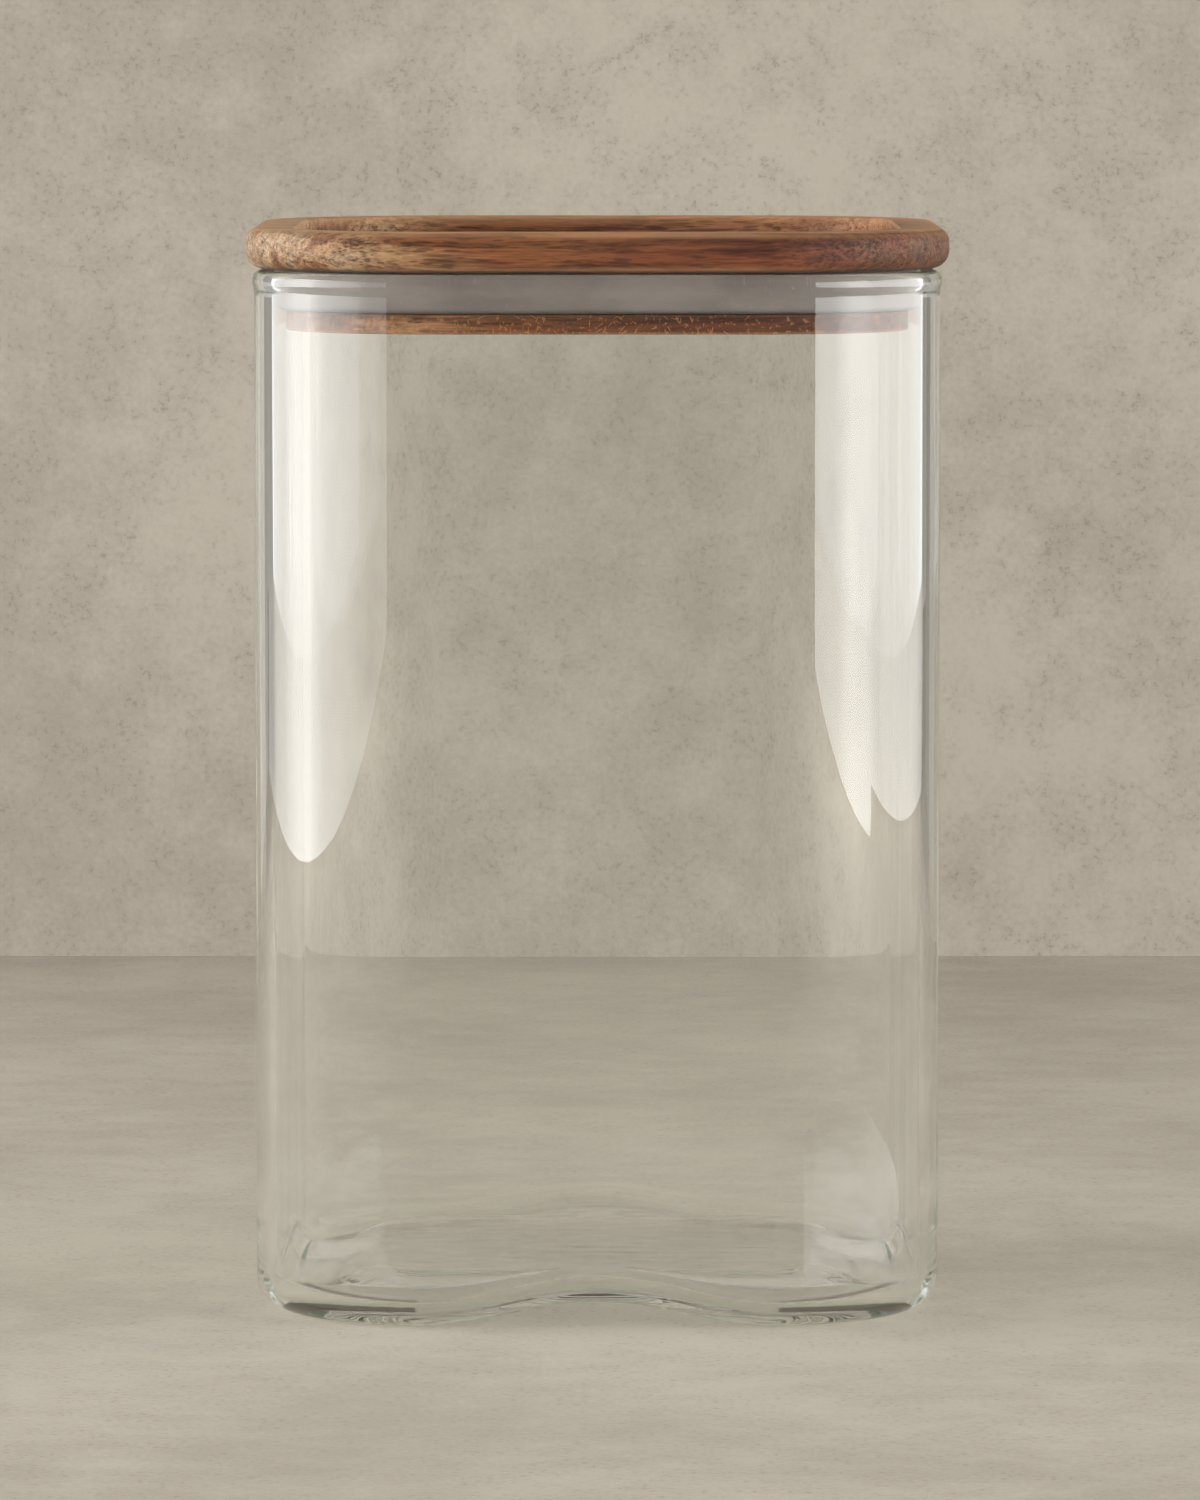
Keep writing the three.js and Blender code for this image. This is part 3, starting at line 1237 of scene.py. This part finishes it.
@dataclass
class Studio:
    """The table, the backdrop, the light and the camera."""

    wall_distance: float = 0.475
    wall_half_width: float = 0.33
    wall_height: float = 0.30
    table_half: float = 6.0
    camera_distance: float = 1.4
    camera_height: float = 0.194
    camera_aside: float = 0.0004
    aim_height: float = 0.07993
    focal_length: float = 226.7
    sensor: float = 36.0
    world_colour: Colour = (0.40, 0.385, 0.36)
    bounces: int = 256
    clear_bounces: int = 32

    def slab(self, name: str, matrix: Matrix, material: bpy.types.Material) -> None:
        """Lays one flat stage surface.

        Args:
            name: What it is called.
            matrix: Carries a unit square into the surface's place.
            material: Its finish.
        """
        bm = bmesh.new()
        bmesh.ops.create_grid(bm, x_segments=1, y_segments=1, size=0.5)
        bmesh.ops.transform(bm, matrix=matrix, verts=bm.verts[:])
        make_object(name, bm, material)

    def surfaces(self) -> None:
        """Builds the table and the backdrop behind it."""
        table = StoneFinish("table_stone", pale=(0.397, 0.360, 0.298), deep=(0.309, 0.277, 0.225))
        wall = StoneFinish(
            "wall_stone", pale=(0.345, 0.314, 0.265), deep=(0.258, 0.231, 0.193), one_sided=True
        )
        spread = Matrix.Diagonal((2 * self.table_half, 2 * self.table_half, 1.0, 1.0))
        self.slab("table", spread, table.build())
        upright = Matrix.Rotation(QUARTER, 4, "X")
        size = Matrix.Diagonal((2 * self.wall_half_width, self.wall_height, 1.0, 1.0))
        place = Matrix.Translation((0.0, self.wall_distance, self.wall_height / 2))
        self.slab("backdrop", place @ upright @ size, wall.build())

    def lights(self) -> None:
        """Sets soft panels along both sides, one flat on the table, and an even sky."""
        for panel in (
            LightPanel(
                name="left_room",
                start=(-1.6, -1.2),
                end=(-1.2, 1.2),
                top=0.9,
                glow=((0.0, 1.1), (1.0, 1.1)),
                seen_through=True,
            ),
            LightPanel(
                name="right_room",
                start=(1.6, -1.2),
                end=(1.2, 1.2),
                top=0.9,
                glow=((0.0, 1.1), (1.0, 1.1)),
                seen_through=True,
            ),
            LightPanel(
                name="right_sheet",
                start=(0.047, -0.078),
                end=(0.145, -0.248),
                top=0.19,
                glow=((0.0, 1.2), (0.2, 2.1), (0.6, 1.3), (1.0, 0.1)),
                flat=True,
                top_round=0.08,
            ),
            LightPanel(
                name="left_window",
                start=(-0.80, -1.30),
                end=(-0.735, 0.62),
                top=0.55,
                glow=(
                    (0.0, 2.4),
                    (0.24, 2.2),
                    (0.34, 3.4),
                    (0.45, 5.0),
                    (0.57, 7.0),
                    (0.64, 11.0),
                    (0.71, 9.0),
                    (0.80, 4.2),
                    (0.92, 1.7),
                    (1.0, 1.1),
                ),
                foot_from=0.02,
                foot_to=0.98,
            ),
            LightPanel(
                name="left_card",
                start=(-0.74, 0.66),
                end=(-0.30, 0.49),
                top=0.4,
                glow=((0.0, 1.0), (0.5, 0.8), (1.0, 0.6)),
            ),
            LightPanel(
                name="right_far_card",
                start=(0.30, 0.49),
                end=(0.72, 0.60),
                top=0.4,
                glow=((0.0, 0.38), (1.0, 0.6)),
            ),
            LightPanel(
                name="right_window",
                start=(0.81, -1.10),
                end=(0.80, -0.22),
                top=0.55,
                glow=((0.0, 5.6), (0.50, 6.4), (0.72, 9.8), (0.92, 9.0), (1.0, 7.6)),
            ),
            LightPanel(
                name="right_card",
                start=(0.95, -0.30),
                end=(0.75, 0.52),
                top=0.5,
                glow=((0.0, 7.4), (0.5, 5.2), (0.8, 3.4), (1.0, 2.0)),
            ),
        ):
            panel.build()
        world = bpy.data.worlds.new("studio")
        world.use_nodes = True
        background = world.node_tree.nodes["Background"]
        background.inputs[0].default_value = (*self.world_colour, 1.0)
        bpy.context.scene.world = world

    def camera(self) -> None:
        """Sets the camera in front, a little above the jar, looking slightly down."""
        data = bpy.data.cameras.new("camera")
        data.lens = self.focal_length
        data.sensor_width = self.sensor
        data.clip_start = 0.05
        data.clip_end = 50.0
        camera = bpy.data.objects.new("camera", data)
        place = Vector((self.camera_aside, -self.camera_distance, self.camera_height))
        aim = Vector((self.camera_aside, 0.0, self.aim_height))
        camera.location = place
        camera.rotation_euler = (aim - place).to_track_quat("-Z", "Y").to_euler()
        bpy.context.scene.collection.objects.link(camera)
        bpy.context.scene.camera = camera

    def build(self) -> None:
        """Builds the whole studio."""
        self.surfaces()
        self.lights()
        self.camera()
        scene = bpy.context.scene
        scene.view_settings.view_transform = "Standard"
        scene.cycles.max_bounces = self.bounces
        scene.cycles.transmission_bounces = self.bounces
        scene.cycles.glossy_bounces = self.bounces
        scene.cycles.transparent_max_bounces = self.clear_bounces


def board_finish() -> WoodFinish:
    """The board: tan sapwood at its left end, red-brown heartwood, greyer at its right end.

    Returns:
        The board's finish.
    """
    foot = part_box("lid_board")[0].z
    return WoodFinish(
        name="board_hardwood",
        along=(
            (0.03, (0.395, 0.268, 0.164)),
            (0.12, (0.404, 0.224, 0.110)),
            (0.26, (0.244, 0.086, 0.031)),
            (0.40, (0.211, 0.077, 0.028)),
            (0.53, (0.186, 0.059, 0.023)),
            (0.66, (0.179, 0.052, 0.019)),
            (0.79, (0.141, 0.041, 0.018)),
            (0.90, (0.130, 0.047, 0.018)),
            (1.0, (0.141, 0.062, 0.026)),
        ),
        dark=(0.22, 0.18, 0.18),
        light=(1.0, 1.0, 0.95),
        pore=(0.045, 0.018, 0.012),
        # Pale colour of worn edges, also a painted highlight on the edges and a painted sheen on the
        # rim's top.
        worn_and_sheen=(0.54, 0.30, 0.145),
        back_streak=(0.50, 0.235, 0.115),
        # Painted shade along the board's bottom edge.
        under=(foot + 0.1 * MM, foot + 0.6 * MM),
        ring_depth=0.060,
        shift=0.0,
        edge_amount=0.75,
        fleck_amount=0.0,
    )


def plug_finish() -> WoodFinish:
    """The plug: the same timber, redder, with rough pale fibres at its edges.

    Returns:
        The plug's finish.
    """
    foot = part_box("lid_plug")[0].z
    return WoodFinish(
        name="plug_hardwood",
        along=(
            (0.04, (0.48, 0.32, 0.20)),
            (0.20, (0.42, 0.20, 0.095)),
            (0.30, (0.22, 0.070, 0.026)),
            (0.53, (0.125, 0.034, 0.018)),
            (0.79, (0.130, 0.036, 0.018)),
            (1.0, (0.22, 0.11, 0.06)),
        ),
        dark=(0.24, 0.21, 0.24),
        light=(1.0, 1.0, 0.95),
        pore=(0.045, 0.016, 0.012),
        worn_and_sheen=(0.62, 0.29, 0.11),
        back_streak=(0.30, 0.12, 0.06),
        # Lies below the plug's foot, so no painted shade reaches the plug.
        under=(foot - 1.0 * MM, foot - 0.5 * MM),
        ring_depth=0.072,
        shift=0.31,
        edge_amount=0.55,
        fleck_amount=0.45,
    )


def main() -> None:
    """Builds the studio and the canister, piece by piece."""
    logging.basicConfig(level=logging.INFO, format="%(name)s: %(message)s")
    Studio().build()
    timber = timber_group()
    edge_wear_and_sheen = edge_wear_and_sheen_group()
    Jar().build(GlassFinish().build())
    Lid().build(
        board_finish().build(timber, edge_wear_and_sheen),
        plug_finish().build(timber, edge_wear_and_sheen),
        SiliconeFinish().build(),
    )


if __name__ == "__main__":
    main()
